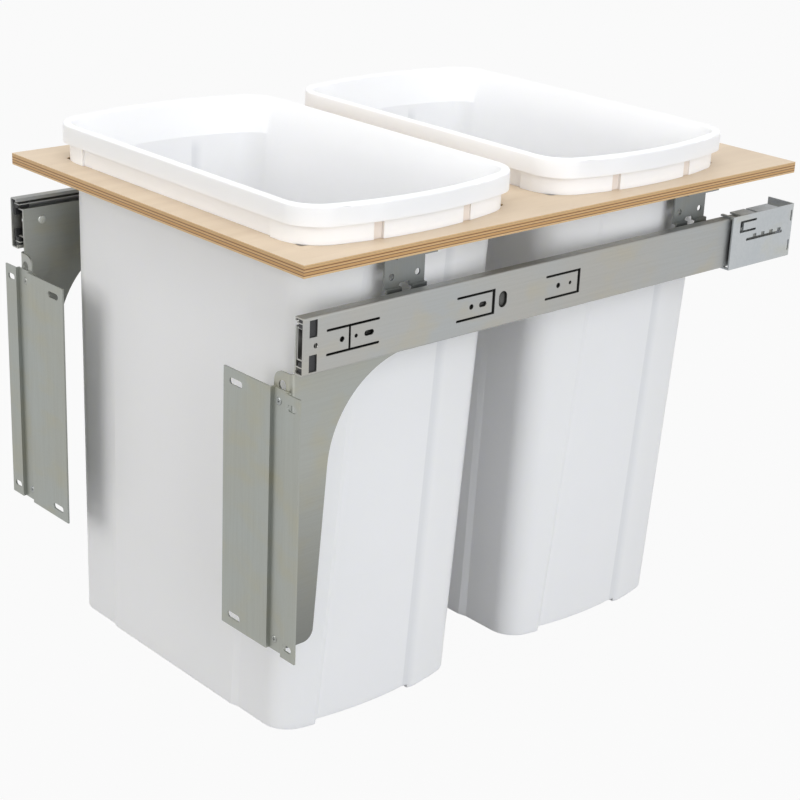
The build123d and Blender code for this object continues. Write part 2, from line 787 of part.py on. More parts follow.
def panelled_outline(height):
    """Draws the bin wall's outer outline at a height, with a panel on each of its four faces."""
    half_length, half_depth, sag = wall_size(height)
    corner_face = half_depth - between(*side_corner_depth, height)
    panel_face = corner_face + between(*side_panel_rise, height)
    panel_end = between(*side_panel_reach, height)
    straight_end = half_length - sag
    recess = between(*end_recess, height)
    low = between(*end_panel_low, height)
    high = between(*end_panel_high, height)
    low_root = low - end_low_slope
    high_root = high + end_high_slope
    bow_radius = (corner_face**2 + sag**2) / (2 * sag)

    def bow(y, depth=0):
        return (half_length - depth - bow_radius + (bow_radius**2 - y**2) ** (1 / 2), y)

    with BuildSketch() as outline:
        with BuildLine():
            Polyline(
                (0, -panel_face),
                (panel_end, -panel_face),
                (panel_end + side_slope, -corner_face),
                bow(-corner_face),
            )
            ThreePointArc(bow(-corner_face), bow((low_root - corner_face) / 2), bow(low_root))
            Line(bow(low_root), bow(low, recess))
            ThreePointArc(bow(low, recess), bow((low + high) / 2, recess), bow(high, recess))
            Line(bow(high, recess), bow(high_root))
            ThreePointArc(bow(high_root), bow((high_root + corner_face) / 2), bow(corner_face))
            Polyline(
                bow(corner_face),
                (panel_end + side_slope, corner_face),
                (panel_end, panel_face),
                (0, panel_face),
                (0, -panel_face),
            )
        make_face()
        mirror(about=Plane.YZ)
        square_corners = [
            vertex for vertex in outline.vertices() if abs(abs(vertex.X) - straight_end) < fit_clearance
        ]
        fillet(square_corners, between(bin_foot_corner, bin_seat_corner, height))
    return outline.sketch


def wall_plane(place, height):
    """Plane of the wall's outline at a height, which moves forward towards the foot."""
    return Plane((0, place + between(bin_foot_shift, 0, height), height))


for end, place in bin_places.items():
    with BuildPart() as tub:
        for height in (bin_foot, deck_height):
            with BuildSketch(wall_plane(place, height)):
                add(panelled_outline(height))
        loft()
        with BuildSketch(wall_plane(place, bin_foot)):
            with Locations((0, (foot_channel_low + foot_channel_high) / 2)):
                Rectangle(bin_lip_length, foot_channel_high - foot_channel_low)
        extrude(amount=foot_height, mode=Mode.SUBTRACT)
        with BuildSketch(Plane((0, place, deck_height))):
            add(bowed_outline(bin_skirt_length, bin_skirt_depth, bin_sag, skirt_corner))
            with Locations(*[(0, side * bin_skirt_depth / 2) for side in both_ways]):
                Rectangle(skirt_middle_width, 2 * skirt_recess, mode=Mode.SUBTRACT)
            for side in both_ways:
                for way in both_ways:
                    with Locations((side * skirt_groove_line, way * skirt_groove_spacing / 2)):
                        Rectangle(2 * skirt_recess, skirt_groove_width, mode=Mode.SUBTRACT)
            add(
                bowed_outline(
                    bin_skirt_length - 2 * skirt_wall,
                    bin_skirt_depth - 2 * skirt_wall,
                    bin_sag,
                    skirt_corner - skirt_wall,
                ),
                mode=Mode.SUBTRACT,
            )
        extrude(amount=bin_above_deck - lip_height)
        with BuildSketch(Plane((0, place, deck_height))):
            add(bowed_outline(bin_seat_length, bin_seat_depth, bin_sag, bin_seat_corner))
        with BuildSketch(Plane((0, place, bin_top - lip_rounding))):
            add(bowed_outline(bin_rim_length, bin_rim_depth, bin_sag, rim_corner))
        loft()
        with BuildSketch(Plane((0, place, lip_underside))):
            add(bowed_outline(bin_lip_length, bin_lip_depth, bin_sag, rim_corner + lip_width))
        extrude(amount=lip_height)
        for height in (floor_top, deck_height):
            with BuildSketch(wall_plane(place, height)):
                add(hollow_outline(height))
        loft(mode=Mode.SUBTRACT)
        with BuildSketch(wall_plane(place, deck_height)):
            add(hollow_outline(deck_height))
        with BuildSketch(Plane((0, place, bin_top))):
            add(
                bowed_outline(
                    bin_rim_length - 2 * bin_wall,
                    bin_rim_depth - 2 * bin_wall,
                    bin_sag,
                    rim_corner - bin_wall,
                )
            )
        loft(mode=Mode.SUBTRACT)
        fillet(tub.faces().sort_by(Axis.Z)[-1].edges(), lip_rounding)
    pieces[f"{end}_bin"] = tub

os.makedirs("parts", exist_ok=True)
for name, piece in pieces.items():
    piece.part.label = name
    export_step(piece.part, f"parts/{name}.step")
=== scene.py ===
# %% [markdown]
# This file dresses a pull out bin frame: a plywood deck on two ball-bearing slides, with two tubs hanging
# through it. The shapes and places come from the measured model, which is loaded first and never moved.
# Everything after that is finish: softened edges, materials, small fasteners, light and a camera. Lengths
# are in metres, with X to the right, Y to the back and Z up.

# %% Load the measured model
import math

import bmesh
import bpy
from mathutils import Matrix, Vector


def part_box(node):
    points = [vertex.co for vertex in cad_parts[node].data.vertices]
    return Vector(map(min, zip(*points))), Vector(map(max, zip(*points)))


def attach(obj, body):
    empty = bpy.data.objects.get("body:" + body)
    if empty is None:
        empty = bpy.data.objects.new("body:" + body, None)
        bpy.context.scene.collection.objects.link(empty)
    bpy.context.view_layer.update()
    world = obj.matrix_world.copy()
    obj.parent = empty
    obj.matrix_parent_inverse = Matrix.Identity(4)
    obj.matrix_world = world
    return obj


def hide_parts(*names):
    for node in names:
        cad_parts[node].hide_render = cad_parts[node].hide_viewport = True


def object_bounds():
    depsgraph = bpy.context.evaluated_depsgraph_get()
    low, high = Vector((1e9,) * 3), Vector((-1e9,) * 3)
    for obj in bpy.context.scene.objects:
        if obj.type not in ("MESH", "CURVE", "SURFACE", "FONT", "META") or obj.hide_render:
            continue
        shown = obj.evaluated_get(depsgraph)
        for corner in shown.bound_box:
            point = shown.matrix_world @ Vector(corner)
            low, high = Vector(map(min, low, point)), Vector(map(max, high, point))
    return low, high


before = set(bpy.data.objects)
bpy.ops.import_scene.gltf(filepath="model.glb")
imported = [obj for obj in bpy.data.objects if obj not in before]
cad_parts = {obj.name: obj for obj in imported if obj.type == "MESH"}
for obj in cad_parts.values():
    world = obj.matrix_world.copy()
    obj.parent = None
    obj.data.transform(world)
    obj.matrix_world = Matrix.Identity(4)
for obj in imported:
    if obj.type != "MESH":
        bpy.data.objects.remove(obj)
cad_low, cad_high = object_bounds()
print("model box", [round(v, 4) for v in (*cad_low, *cad_high)])

# %% [markdown]
# The camera comes first, so that every later step can be judged against the photograph. Its place and its
# lens were worked out from known points on the frame. A camera looks along its own -Z axis, so the turn
# is built from three directions: to the right of the picture, up the picture, and back towards the lens.

# %% Set the camera
camera_azimuth = math.radians(47.2)
camera_elevation = math.radians(21.09)
camera_roll = math.radians(2.58)
camera_place = (1.16702, -0.79405, 0.44434)
camera_lens = 81.95
camera_sensor = 36

back = Vector(
    (
        math.sin(camera_azimuth) * math.cos(camera_elevation),
        -math.cos(camera_azimuth) * math.cos(camera_elevation),
        math.sin(camera_elevation),
    )
)
level_right = (-back).cross(Vector((0, 0, 1))).normalized()
level_up = level_right.cross(-back)
picture_right = math.cos(camera_roll) * level_right + math.sin(camera_roll) * level_up
picture_up = math.cos(camera_roll) * level_up - math.sin(camera_roll) * level_right

bpy.ops.object.camera_add(location=camera_place)
camera = bpy.context.object
camera.name = "camera"
camera.rotation_euler = Matrix((picture_right, picture_up, back)).transposed().to_euler()
camera.data.lens = camera_lens
camera.data.sensor_width = camera_sensor
bpy.context.scene.camera = camera
print("camera", camera.location[:], camera.rotation_euler[:])

# %% [markdown]
# A material is a small graph of nodes. Typing out every node and link makes even a simple finish long, so
# a few helpers keep it short. The first adds one node, sets the sockets that are given plain values, and
# links the ones that are given another node's output. The next two start a material and mix two colours.

# %% Helpers for material nodes
def add_node(tree, kind, output=0, **inputs):
    """Adds a node, sets or links its inputs, and returns one of its outputs."""
    made = tree.nodes.new(kind)
    for key, value in inputs.items():
        name = key.replace("_", " ")
        if isinstance(value, bpy.types.NodeSocket):
            tree.links.new(value, made.inputs[name])
        else:
            made.inputs[name].default_value = value
    return made.outputs[output]


def new_finish(name, **sockets):
    """Makes a material with a Principled shader and returns the material, its tree and the shader."""
    finish = bpy.data.materials.new(name)
    finish.use_nodes = True
    tree = finish.node_tree
    shader = tree.nodes["Principled BSDF"]
    for key, value in sockets.items():
        shader.inputs[key.replace("_", " ")].default_value = value
    print("finish", name)
    return finish, tree, shader


def blend_colours(tree, share, first, second):
    """Mixes two colours; a share of 0 gives the first and 1 the second."""
    mix = tree.nodes.new("ShaderNodeMix")
    mix.data_type = "RGBA"
    tree.links.new(share, mix.inputs["Factor"])
    for slot, colour in ((6, first), (7, second)):
        if isinstance(colour, bpy.types.NodeSocket):
            tree.links.new(colour, mix.inputs[slot])
        else:
            mix.inputs[slot].default_value = (*colour, 1)
    return mix.outputs[2]


# %% [markdown]
# Many finishes change from place to place: a stripe here, a duller foot there. Each change is a share
# between 0 and 1 that is worked out from the object's own coordinates, which stay with the piece when it
# moves. These helpers do the sums, and they read like the sentence they stand for: beyond a line, all of
# these at once.

# %% Helpers for places and sums
def ranged(tree, value, low, high, to_low=0.0, to_high=1.0):
    """Maps a value from one range to another and holds it there."""
    return add_node(
        tree, "ShaderNodeMapRange", Value=value, From_Min=low, From_Max=high, To_Min=to_low, To_Max=to_high
    )


def joined(tree, operation, first, second=None):
    """Works out one value from another and a second value or plain number."""
    node = tree.nodes.new("ShaderNodeMath")
    node.operation = operation
    tree.links.new(first, node.inputs[0])
    if isinstance(second, bpy.types.NodeSocket):
        tree.links.new(second, node.inputs[1])
    elif second is not None:
        node.inputs[1].default_value = second
    return node.outputs[0]


def size_of(tree, value):
    """The value without its sign."""
    return joined(tree, "ABSOLUTE", value)


def beyond(tree, value, limit, ramp):
    """1 where a value is past a limit and 0 before it, with a short ramp between."""
    return ranged(tree, value, limit - ramp / 2, limit + ramp / 2)


def short_of(tree, value, limit, ramp):
    """1 where a value is before a limit and 0 past it, with a short ramp between."""
    return ranged(tree, value, limit - ramp / 2, limit + ramp / 2, 1, 0)


def all_of(tree, first, *others):
    """Multiplies shares, so that the result is 1 only where every one of them is."""
    total = first
    for share in others:
        total = joined(tree, "MULTIPLY", total, share)
    return total


def object_place(tree, scale=(1, 1, 1)):
    """Object coordinates, stretched by a scale along each axis."""
    place = add_node(tree, "ShaderNodeTexCoord", output="Object")
    return add_node(tree, "ShaderNodeMapping", Scale=scale, Vector=place)


def parts_of(tree, vector):
    """The three parts of a vector: across, along and up."""
    parts = tree.nodes.new("ShaderNodeSeparateXYZ")
    tree.links.new(vector, parts.inputs[0])
    return parts.outputs[0], parts.outputs[1], parts.outputs[2]


def facing_parts(tree):
    """The three parts of the direction that the surface faces."""
    return parts_of(tree, add_node(tree, "ShaderNodeNewGeometry", output="Normal"))


# %% [markdown]
# No real surface is even. Noise, at a scale given in marks per metre, brings slow changes of tone and
# fine grain into a finish, and a bump node turns the finest of it into relief that the light can catch.

# %% Helpers for noise and bump
def noise(tree, place, scale, detail=2.0, roughness=0.5):
    """A noise value at a scale in marks per metre."""
    return add_node(
        tree, "ShaderNodeTexNoise", "Fac", Vector=place, Scale=scale, Detail=detail, Roughness=roughness
    )


def bumped(tree, shader, height, distance, strength=0.5):
    """Feeds a height through a bump node into the shader."""
    bump = add_node(tree, "ShaderNodeBump", Strength=strength, Distance=distance, Height=height)
    tree.links.new(bump, shader.inputs["Normal"])


# %% [markdown]
# The panel in each side wall of a tub ends at the back in a step, whose slope faces away from the light.
# Its shade is painted into the colour as a duller grey stripe. The wall leans, so the stripe's place along
# the frame is worked out from the height. The step itself is in the measured model, and this function
# only says where it is, as a share that the painted shade is laid on with.

# %% Place of the painted shade on the tubs' steps
deck_low, deck_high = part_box("deck")
tub_low, tub_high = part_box("front_bin")
step_foot = 0.158
step_top = 0.170
step_edge = 0.0006
step_solid = 0.004
step_width = 0.0115
side_reach = 0.141
side_ramp = 0.002
step_end = 0.007
step_fade = 0.01
sideways = 0.4
sideways_ramp = 0.2


def step_shade_place(tree, front):
    """1 where shade is painted on the steps of a tub that stands a distance behind the front one, fading to
    the back.
    """
    across, along, up = parts_of(tree, object_place(tree))
    line = ranged(tree, up, tub_low.z, deck_high.z, front + step_foot, front + step_top)
    past = joined(tree, "SUBTRACT", along, line)
    return all_of(
        tree,
        ranged(tree, past, 0, step_edge),
        ranged(tree, past, step_solid, step_width, 1, 0),
        beyond(tree, size_of(tree, across), side_reach, side_ramp),
        short_of(tree, up, deck_high.z - step_end, step_fade),
        beyond(tree, size_of(tree, facing_parts(tree)[0]), sideways, sideways_ramp),
    )


print("steps from", step_foot, "at the foot to", step_top, "at the deck's top")

# %% [markdown]
# The skirt that stands on the deck has two grooves at each end. They are narrow and close to the wood, so
# they hold the warm light that it throws back, in the band between the deck and the lip. A little colour
# in them shows that without the many samples that such light would take to render.

# %% Place of the grooves in the tubs' skirts
tub_middle = (tub_low.y + tub_high.y) / 2
tub_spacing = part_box("rear_bin")[0].y - tub_low.y
groove_spacing = 0.092
groove_width = 0.0089
groove_ramp = 0.0003
groove_reach = 0.1766
groove_foot = 0.001
lip_height = 0.0166
skirt_ramp = 0.0004


def tub_grooves(tree, front):
    """1 in the grooves of a tub that stands a distance behind the front one."""
    across, along, up = parts_of(tree, object_place(tree))
    from_middle = size_of(tree, joined(tree, "SUBTRACT", along, front + tub_middle))
    from_groove = size_of(tree, joined(tree, "SUBTRACT", from_middle, groove_spacing / 2))
    return all_of(
        tree,
        short_of(tree, from_groove, groove_width / 2, groove_ramp),
        beyond(tree, size_of(tree, across), groove_reach, skirt_ramp),
        beyond(tree, up, deck_high.z - groove_foot, groove_foot),
        short_of(tree, up, tub_high.z - lip_height, skirt_ramp),
    )


print("tub middle", round(tub_middle, 4), "spacing", round(tub_spacing, 4))

# %% [markdown]
# The tubs are injection-moulded polypropylene: white, with a satin skin. A flat white would look like
# paper, so the skin gets a very fine grain in its bump, slow changes of gloss across the wall, and a
# trace of light passing into the plastic. The painted shade of the step and the painted warm light in the
# grooves are laid over it.

# %% White moulded plastic
tub_whites = ((0.915, 0.92, 0.925), (0.93, 0.93, 0.935))
light_depth = 0.003
step_shade_grey = (0.71, 0.72, 0.74)
step_shade_strength = 0.5
groove_beige = (0.79, 0.72, 0.66)
gloss_scale = 9
skin_scale = 1400
plastic_grain = 0.00004


def make_white_plastic(name, front):
    """Makes the white of a tub that stands a distance behind the front one."""
    finish, tree, shader = new_finish(name, Roughness=0.38, IOR=1.46)
    shader.inputs["Subsurface Weight"].default_value = 0.4
    shader.inputs["Subsurface Radius"].default_value = (1.0, 1.0, 0.9)
    shader.inputs["Subsurface Scale"].default_value = light_depth
    place = object_place(tree)
    slow = noise(tree, place, gloss_scale, 3)
    colour = blend_colours(tree, ranged(tree, slow, 0.35, 0.65), *tub_whites)
    # Painted shade: a duller grey stripe on each step.
    step_shade_share = joined(tree, "MULTIPLY", step_shade_place(tree, front), step_shade_strength)
    colour = blend_colours(tree, step_shade_share, colour, step_shade_grey)
    colour = blend_colours(tree, tub_grooves(tree, front), colour, groove_beige)
    tree.links.new(colour, shader.inputs["Base Color"])
    tree.links.new(ranged(tree, slow, 0.3, 0.7, 0.33, 0.42), shader.inputs["Roughness"])
    bumped(tree, shader, noise(tree, place, skin_scale, 2), plastic_grain, 0.35)
    return finish


tub_plastic = {
    "front": make_white_plastic("white_front_tub", 0),
    "rear": make_white_plastic("white_rear_tub", tub_spacing),
}

# %% [markdown]
# The deck is birch plywood under clear lacquer. Its top is one pale veneer whose grain runs along the
# board, with thin darker pores and a slow change of tone. On the cut edges the plies show as stripes:
# every second ply is end grain and darker, with a dark glue line between. The stripes are a colour ramp
# over the height inside the board.

# %% Colours of the veneer and the plies
veneer_dark = (0.60, 0.47, 0.33)
veneer_light = (0.71, 0.585, 0.44)
veneer_cloud = (0.67, 0.545, 0.40)
veneer_pore = (0.48, 0.34, 0.21)
ply_fibre = (0.42, 0.26, 0.12)
tan = (0.575, 0.335, 0.132)
pale = (0.71, 0.485, 0.25)
glue = (0.13, 0.04, 0.012)
ply_shares = (
    (0.00, pale), (0.15, pale), (0.17, glue), (0.21, glue), (0.24, tan), (0.40, tan),
    (0.42, glue), (0.46, glue), (0.49, pale), (0.62, tan), (0.64, glue), (0.68, glue),
    (0.71, tan), (0.86, pale), (0.88, glue), (0.90, pale), (1.00, pale),
)
wave_stretch = (1.0, 0.35, 1.0)
wave_scale = 6
fibre_stretch = (1, 1, 6)
fibre_scale = 240


def veneer_colour(tree, figure, pores):
    """The colour of the board's faces, from its grain and its pores."""
    wavy = noise(tree, object_place(tree, wave_stretch), wave_scale, 2)
    veneer = blend_colours(tree, ranged(tree, figure, 0.3, 0.7), veneer_dark, veneer_light)
    veneer = blend_colours(tree, ranged(tree, wavy, 0.35, 0.7, 0, 0.5), veneer, veneer_cloud)
    return blend_colours(tree, ranged(tree, pores, 0.62, 0.75, 0, 0.35), veneer, veneer_pore)


def edge_colour(tree):
    """The colour of the board's cut edges, ply by ply."""
    plies = tree.nodes.new("ShaderNodeValToRGB")
    height = parts_of(tree, object_place(tree))[2]
    tree.links.new(ranged(tree, height, deck_low.z, deck_high.z), plies.inputs["Fac"])
    ramp = plies.color_ramp
    while len(ramp.elements) < len(ply_shares):
        ramp.elements.new(0.5)
    for element, (position, colour) in zip(ramp.elements, ply_shares):
        element.position = position
        element.color = (*colour, 1)
    fibre = noise(tree, object_place(tree, fibre_stretch), fibre_scale, 3, 0.7)
    return blend_colours(tree, ranged(tree, fibre, 0.35, 0.7, 0, 0.35), plies.outputs["Color"], ply_fibre)


print("deck from", round(deck_low.z, 4), "to", round(deck_high.z, 4), "with", len(ply_shares), "stops")

# %% [markdown]
# Whether a point is on a face or on a cut edge is read from the way its surface faces, so that one
# material serves the whole board. The lacquer is a little glossier over the dense grain than over the
# open one.

# %% Birch plywood
grain_stretch = (1.0, 0.05, 1.0)
figure_scale = 70
pore_scale = 620
pore_depth = 0.00008


def make_plywood():
    """Makes the finish of the board, veneer on its faces and plies on its edges."""
    finish, tree, shader = new_finish("birch_plywood", Roughness=0.42, IOR=1.5)
    along_board = object_place(tree, grain_stretch)
    figure = noise(tree, along_board, figure_scale, 5, 0.6)
    pores = noise(tree, along_board, pore_scale, 3, 0.7)
    flat = size_of(tree, facing_parts(tree)[2])
    colour = blend_colours(
        tree, ranged(tree, flat, 0.6, 0.8), edge_colour(tree), veneer_colour(tree, figure, pores)
    )
    tree.links.new(colour, shader.inputs["Base Color"])
    tree.links.new(ranged(tree, figure, 0.3, 0.7, 0.36, 0.5), shader.inputs["Roughness"])
    bumped(tree, shader, pores, pore_depth, 0.4)
    return finish


plywood = make_plywood()

# %% [markdown]
# The slides and brackets are rolled steel under a thin zinc plating. Rolling leaves fine streaks along
# the strip, and the clear passivation over the zinc tints it faintly yellow, green and blue in slow
# clouds. The streaks are a noise that is squeezed across the strip and stretched along it, used for both
# gloss and a very shallow bump. Inside a slide, covered steel gets painted shade: occlusion measures how
# covered a point is, and covered steel is coloured near black, so a channel that slides out comes out
# in its plain colour.

# %% Helpers for plated steel
# Painted shade: the near black of covered steel inside a slide.
covered_shade_black = (0.012, 0.012, 0.011)
air_reach = 0.02
shaded_air = 0.80
cloud_scale = 11
tint_stretch = (1, 1, 1.7)
tint_scale = 23


def plated_colour(tree, warm, cool, streaks):
    """The clouds, tints and streaks of zinc plating between a warm and a cool tone."""
    clouds = noise(tree, object_place(tree), cloud_scale, 4, 0.55)
    tints = noise(tree, object_place(tree, tint_stretch), tint_scale, 3, 0.5)
    straw = (1.06 * warm[0], 1.0 * warm[1], 0.84 * warm[2])
    darker = tuple(0.88 * part for part in warm)
    colour = blend_colours(tree, ranged(tree, clouds, 0.38, 0.62), warm, cool)
    colour = blend_colours(tree, ranged(tree, tints, 0.5, 0.68, 0, 0.6), colour, straw)
    return blend_colours(tree, ranged(tree, streaks, 0.35, 0.75, 0, 0.3), colour, darker)


def painted_covered_shade(tree, from_across, unshaded_air):
    """1 where covered steel further across than a distance gets painted shade, and 0 from a share of open
    air on.
    """
    open_air = tree.nodes.new("ShaderNodeAmbientOcclusion")
    open_air.samples = 8
    open_air.inputs["Distance"].default_value = air_reach
    covered = ranged(tree, open_air.outputs["AO"], shaded_air, unshaded_air, 1, 0)
    across = size_of(tree, parts_of(tree, object_place(tree))[0])
    return all_of(tree, covered, beyond(tree, across, from_across, 0.0002))


# %% [markdown]
# All the steels are one recipe with different tones, gloss and direction of rolling. The side plates'
# colour darkens towards their feet: painted shade for the darker room that they mirror there. The sockets
# are galvanised instead of plated: bluer and paler, with no direction.

# %% Plated steel
leg_top = -0.10
leg_foot = -0.31
streak_scale = 700
speck_scale = 650
rolling_depth = 0.00001


def make_plated(
    name, warm, cool, roughness, rolling, metal=0.9, shade_from=None, unshaded_air=0.97, foot_shade_factor=1.0
):
    """Makes a plated steel, with painted shade where it is covered, and painted shade towards its foot when
    asked.
    """
    finish, tree, shader = new_finish(name, Metallic=metal, Roughness=roughness)
    streaks = noise(tree, object_place(tree, rolling), streak_scale, 3, 0.6)
    colour = plated_colour(tree, warm, cool, streaks)
    # Painted shade on covered steel.
    if shade_from is not None:
        colour = blend_colours(tree, painted_covered_shade(tree, shade_from, unshaded_air), colour, covered_shade_black)
    # Painted shade: the colour darkens towards the foot.
    if foot_shade_factor < 1:
        up = parts_of(tree, object_place(tree))[2]
        foot_shade_colour = tuple(foot_shade_factor * part for part in cool)
        colour = blend_colours(tree, ranged(tree, up, leg_top, leg_foot), colour, foot_shade_colour)
    tree.links.new(colour, shader.inputs["Base Color"])
    specks = noise(tree, object_place(tree), speck_scale, 2)
    coarse = ranged(tree, streaks, 0.3, 0.7, -0.04, 0.05)
    fine = ranged(tree, specks, 0.3, 0.7, roughness - 0.03, roughness + 0.04)
    tree.links.new(joined(tree, "ADD", coarse, fine), shader.inputs["Roughness"])
    bumped(tree, shader, streaks, rolling_depth, 0.25)
    return finish


along_slide = (1.0, 0.02, 1.0)
down_bracket = (1.0, 1.0, 0.03)
coarse_grain = (0.5, 0.5, 0.5)
slide_steel = make_plated(
    "zinc_slide_steel",
    warm=(0.425, 0.42, 0.395),
    cool=(0.405, 0.42, 0.42),
    roughness=0.42,
    rolling=along_slide,
)
plate_steel = make_plated(
    "zinc_plate_steel",
    warm=(0.375, 0.38, 0.345),
    cool=(0.37, 0.385, 0.365),
    roughness=0.40,
    rolling=along_slide,
    foot_shade_factor=0.36,
)
bracket_steel = make_plated(
    "zinc_bracket_steel",
    warm=(0.36, 0.37, 0.335),
    cool=(0.36, 0.38, 0.36),
    roughness=0.42,
    rolling=down_bracket,
)
clip_steel = make_plated(
    "zinc_clip_steel",
    warm=(0.245, 0.25, 0.235),
    cool=(0.235, 0.25, 0.25),
    roughness=0.38,
    rolling=down_bracket,
)
socket_steel = make_plated(
    "galvanised_steel",
    warm=(0.48, 0.51, 0.53),
    cool=(0.54, 0.56, 0.57),
    roughness=0.40,
    rolling=coarse_grain,
)

# %% [markdown]
# The outer face of the middle channels' webs gets painted shade: it is coloured near black where it is
# covered, which shows behind the holes of the outer channels, and keeps its plain colour once it is pulled
# out. The ball cages get the same painted shade, set so that they stay mostly dark even in open air.
# Screws, rivets and balls are smoother than any sheet, and all but the door screws are brighter.

# %% Steel with painted shade, and fastener steel
no_rolling = (1, 1, 1)
web_play = 0.0004
web_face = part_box("right_intermediate_member")[1].x - web_play
web_steel = make_plated(
    "shaded_web_steel",
    warm=(0.46, 0.455, 0.43),
    cool=(0.44, 0.46, 0.46),
    roughness=0.42,
    rolling=along_slide,
    shade_from=web_face,
)
# Painted shade: the cages stay mostly dark even in open air.
cage_steel = make_plated(
    "cage_steel",
    warm=(0.42, 0.42, 0.40),
    cool=(0.46, 0.46, 0.45),
    roughness=0.36,
    rolling=along_slide,
    shade_from=0,
    unshaded_air=1.4,
)
fastener_steel = make_plated(
    "fastener_steel",
    warm=(0.62, 0.62, 0.58),
    cool=(0.60, 0.62, 0.60),
    roughness=0.30,
    rolling=no_rolling,
)
screw_steel = make_plated(
    "blue_zinc_screw_steel",
    warm=(0.34, 0.35, 0.33),
    cool=(0.34, 0.36, 0.37),
    roughness=0.28,
    rolling=no_rolling,
)
ball_steel = make_plated(
    "ball_steel",
    warm=(0.80, 0.80, 0.80),
    cool=(0.78, 0.79, 0.80),
    roughness=0.12,
    rolling=no_rolling,
    metal=1.0,
)

# %% [markdown]
# The pads at the slides' front ends and the stops at their back are a hard black plastic. A pure black
# would look like a hole, so the colour moves between two very dark greys, in the same fine grain as the
# relief of its skin.

# %% Black moulded plastic
pad_blacks = ((0.012, 0.012, 0.013), (0.028, 0.028, 0.03))
pad_scale = 1600


def make_black_plastic():
    """Makes the finish of the pads and the stops."""
    finish, tree, shader = new_finish("black_moulded_plastic", Roughness=0.45)
    grain = noise(tree, object_place(tree), pad_scale, 2)
    colour = blend_colours(tree, ranged(tree, grain, 0.3, 0.7), *pad_blacks)
    tree.links.new(colour, shader.inputs["Base Color"])
    bumped(tree, shader, grain, plastic_grain, 0.4)
    return finish


black_plastic = make_black_plastic()

# %% [markdown]
# Every node of the model gets its finish by name. Assigning to an object's material slots changes nothing
# in its mesh, so the measured shapes stay as they are.

# %% Dress the measured nodes
finish_of = {
    "cabinet_member": slide_steel,
    "intermediate_member": web_steel,
    "drawer_member": slide_steel,
    "side_bracket": plate_steel,
    "door_bracket": bracket_steel,
    "front_deck_clip": clip_steel,
    "rear_deck_clip": clip_steel,
    "rear_socket": socket_steel,
    "outer_ball_cage": cage_steel,
    "inner_ball_cage": cage_steel,
    "outer_balls": ball_steel,
    "inner_balls": ball_steel,
    "front_bumper": black_plastic,
    "rear_stop": black_plastic,
    "bracket_rivets": fastener_steel,
    "clip_rivets": fastener_steel,
}
finish_of = {f"{side}_{name}": finish for name, finish in finish_of.items() for side in ("right", "left")}
finish_of |= {"deck": plywood, "front_bin": tub_plastic["front"], "rear_bin": tub_plastic["rear"]}
finish_of |= {name: fastener_steel for name in ("deck_screws", "door_bracket_screws", "door_bracket_nuts")}


def dress(piece, finish):
    """Gives a piece one finish all over."""
    piece.data.materials.clear()
    piece.data.materials.append(finish)


for name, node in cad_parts.items():
    dress(node, finish_of[name])
print("dressed", len(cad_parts), "nodes")

# %% [markdown]
# A measured mesh has knife-sharp edges, and real ones never do: moulded plastic leaves its tool with a
# small radius, sawn plywood has its arris broken with sandpaper, and stamped steel has a rolled burr. A
# thin bevel catches a line of light along each edge, and that line is most of what makes a piece look
# made. The measured meshes are loose triangles, so a copy is merged and its flat triangles are joined
# into whole faces first.

# %% Helper that softens a copy of a measured node
merge_distance = 0.000002
flat_angle = math.radians(0.4)


def keep_only(piece):
    """Deselects everything and selects one piece."""
    bpy.ops.object.select_all(action="DESELECT")
    piece.select_set(True)
    bpy.context.view_layer.objects.active = piece


def soften(
    node_name, piece_name, body, width, sharp_angle=40, segments=2, smooth_angle=35, evened=True
):
    """Copies a node, merges its triangles, rounds its sharp edges and lets the copy stand for the node."""
    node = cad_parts[node_name]
    piece = bpy.data.objects.new(piece_name, node.data.copy())
    bpy.context.scene.collection.objects.link(piece)
    keep_only(piece)
    bpy.ops.object.mode_set(mode="EDIT")
    bpy.ops.mesh.select_all(action="SELECT")
    bpy.ops.mesh.customdata_custom_splitnormals_clear()
    bpy.ops.mesh.remove_doubles(threshold=merge_distance)
    bpy.ops.mesh.dissolve_limited(angle_limit=flat_angle)
    bpy.ops.object.mode_set(mode="OBJECT")
    rounding = piece.modifiers.new("rounding", "BEVEL")
    rounding.width = width
    rounding.segments = segments
    rounding.limit_method = "ANGLE"
    rounding.angle_limit = math.radians(sharp_angle)
    rounding.use_clamp_overlap = True
    rounding.miter_outer = "MITER_ARC"
    bpy.ops.object.modifier_apply(modifier="rounding")
    bpy.ops.object.shade_smooth_by_angle(angle=math.radians(smooth_angle))
    if evened:
        evening = piece.modifiers.new("evening", "WEIGHTED_NORMAL")
        evening.keep_sharp = True
        bpy.ops.object.modifier_apply(modifier="evening")
    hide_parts(node_name)
    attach(piece, body)
    print(piece_name, len(piece.data.polygons), "faces")
    return piece


# %% [markdown]
# The tubs' walls meet in generous radii that are in the measured shape already. What is left is the small
# radius on the skirt's steps, the panel edges and the foot. The walls turn by up to 10 degrees from facet
# to facet round a corner, and that is shaded smooth. The panels in the front and back walls are stepped
# by less, yet their edges are crisp on the real tub, so these are found by place and marked sharp.

# %% Soften the tubs and the deck
tub_edge = 0.0007
deck_edge = 0.0005
panel_line_from = 0.08
panel_line_to = 0.106
panel_line_rise = 0.1


def on_panel_line(edge):
    """True for the long upright edges of a front or back panel."""
    first, second = edge.verts[0].co, edge.verts[1].co
    nearer, farther = sorted((abs(first.x), abs(second.x)))
    upright = abs(first.z - second.z) > panel_line_rise
    return edge.is_manifold and upright and panel_line_from < nearer and farther < panel_line_to


